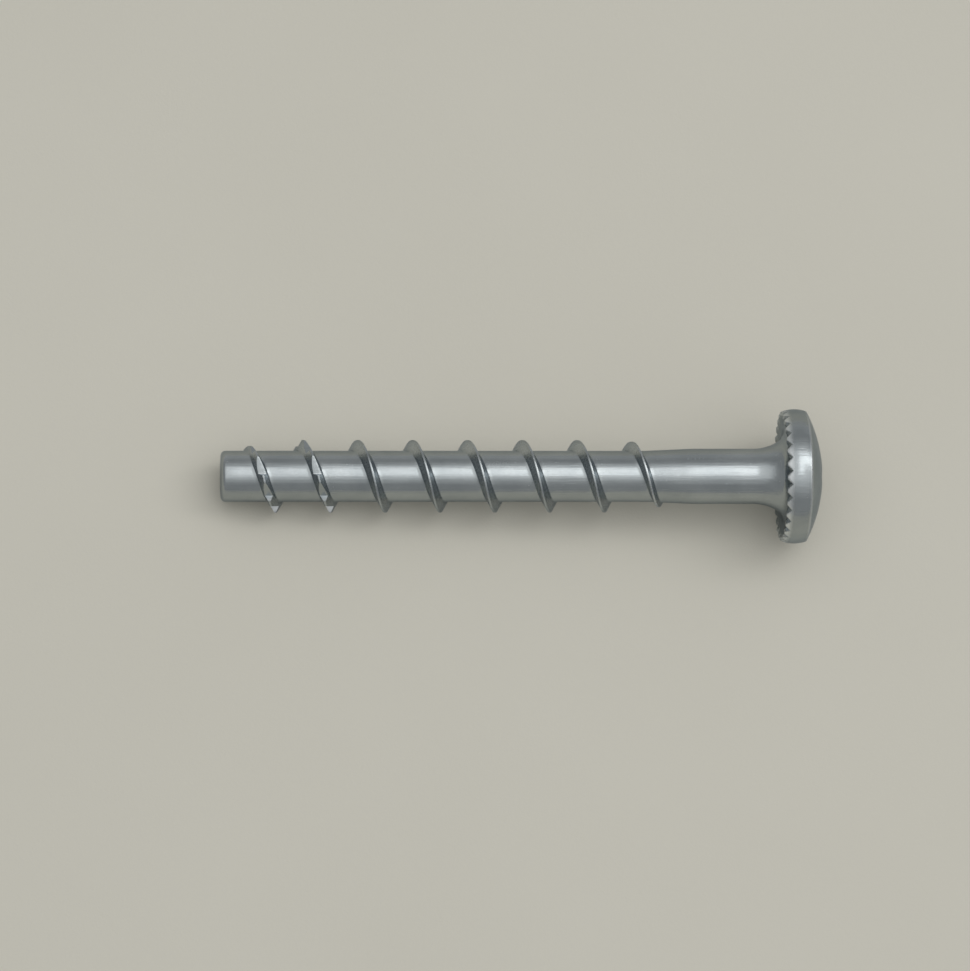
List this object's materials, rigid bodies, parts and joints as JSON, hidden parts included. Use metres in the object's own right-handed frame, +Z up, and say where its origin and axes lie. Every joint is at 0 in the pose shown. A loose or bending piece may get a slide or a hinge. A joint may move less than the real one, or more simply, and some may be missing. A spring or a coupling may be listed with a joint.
{
  "type": "concrete screw",
  "caption": "Zinc-plated pan-head concrete screw with a blunt tip, a coarse self-cutting thread with saw-tooth notches, a serrated underhead and a six-lobe drive recess.",
  "frame": {"origin": "on the ground, under the middle of the lying screw's box", "axes": "+X along the ground from the tip to the head, +Z up; the screw's own axis rises 3.6 degrees towards the head"},
  "size_m": [0.0644, 0.0144, 0.0144],
  "materials": {
    "zinc_steel": "satin zinc plating"
  },
  "bodies": {
    "root": {"concrete_screw": "zinc_steel"}
  },
  "joints": []
}
